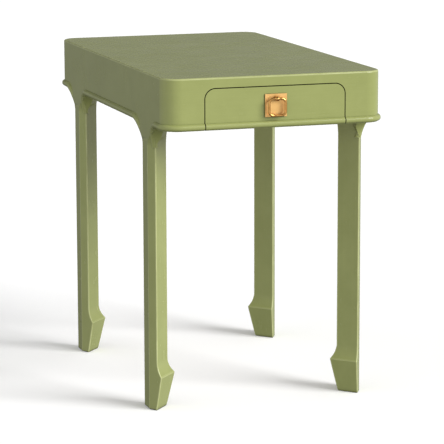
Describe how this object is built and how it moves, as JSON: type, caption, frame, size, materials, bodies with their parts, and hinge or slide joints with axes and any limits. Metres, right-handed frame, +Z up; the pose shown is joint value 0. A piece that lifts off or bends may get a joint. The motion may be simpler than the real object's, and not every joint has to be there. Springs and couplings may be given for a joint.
{
  "type": "side table",
  "caption": "Rectangular lacquered side table with rounded flush case, beaded lower edge, hoof-footed legs, and a drawer with a drop-ring pull.",
  "frame": {"origin": "centre of the overall box on the floor, so the case itself is centred 4.7 mm behind it because the pull stands out further than the bead at the back", "axes": "+Z up, -Y out of the drawer's face, +X to the right seen from the front"},
  "size_m": [0.416, 0.7294, 0.61],
  "materials": {
    "lacquer": "semi-gloss sage green lacquer with fine brush streaks and rubbed edges",
    "inner_wood": "clear satin, straight grain",
    "brass_plate": "satin",
    "brass_ring": "polished",
    "steel": "zinc plated"
  },
  "bodies": {
    "table": {"top_panel": "lacquer", "front_apron": "lacquer", "back_apron": "lacquer", "apron_left_mid": "lacquer", "apron_right_mid": "lacquer", "apron_left_front": "lacquer", "apron_left_back": "lacquer", "apron_right_front": "lacquer", "apron_right_back": "lacquer", "corner_front_left": "lacquer", "corner_front_right": "lacquer", "corner_back_left": "lacquer", "corner_back_right": "lacquer", "leg_front_left": "lacquer", "leg_front_right": "lacquer", "leg_back_left": "lacquer", "leg_back_right": "lacquer", "bottom_panel": "inner_wood", "runner_left": "inner_wood", "runner_right": "inner_wood", "guide_left": "inner_wood", "guide_right": "inner_wood", "kicker_left": "inner_wood", "kicker_right": "inner_wood", "drawer_stop_left": "inner_wood", "drawer_stop_right": "inner_wood", "kicker_screws": "steel"},
    "drawer": {"drawer_front": "lacquer", "drawer_side_left": "inner_wood", "drawer_side_right": "inner_wood", "drawer_back": "inner_wood", "drawer_bottom": "inner_wood", "pull_plate": "brass_plate", "pull_post": "brass_ring", "pull_washer": "steel", "pull_nut": "steel"},
    "ring": {"pull_ring": "brass_ring"}
  },
  "joints": [
    {"name": "drawer_slide", "type": "slide", "parent": "table", "child": "drawer", "axis": [0, -1, 0], "range_m": [0, 0.36]},
    {"name": "ring_swing", "type": "hinge", "parent": "drawer", "child": "ring", "pos_m": [0, -0.3605, 0.5695], "axis": [-1, 0, 0], "range_deg": [-10, 180]}
  ]
}
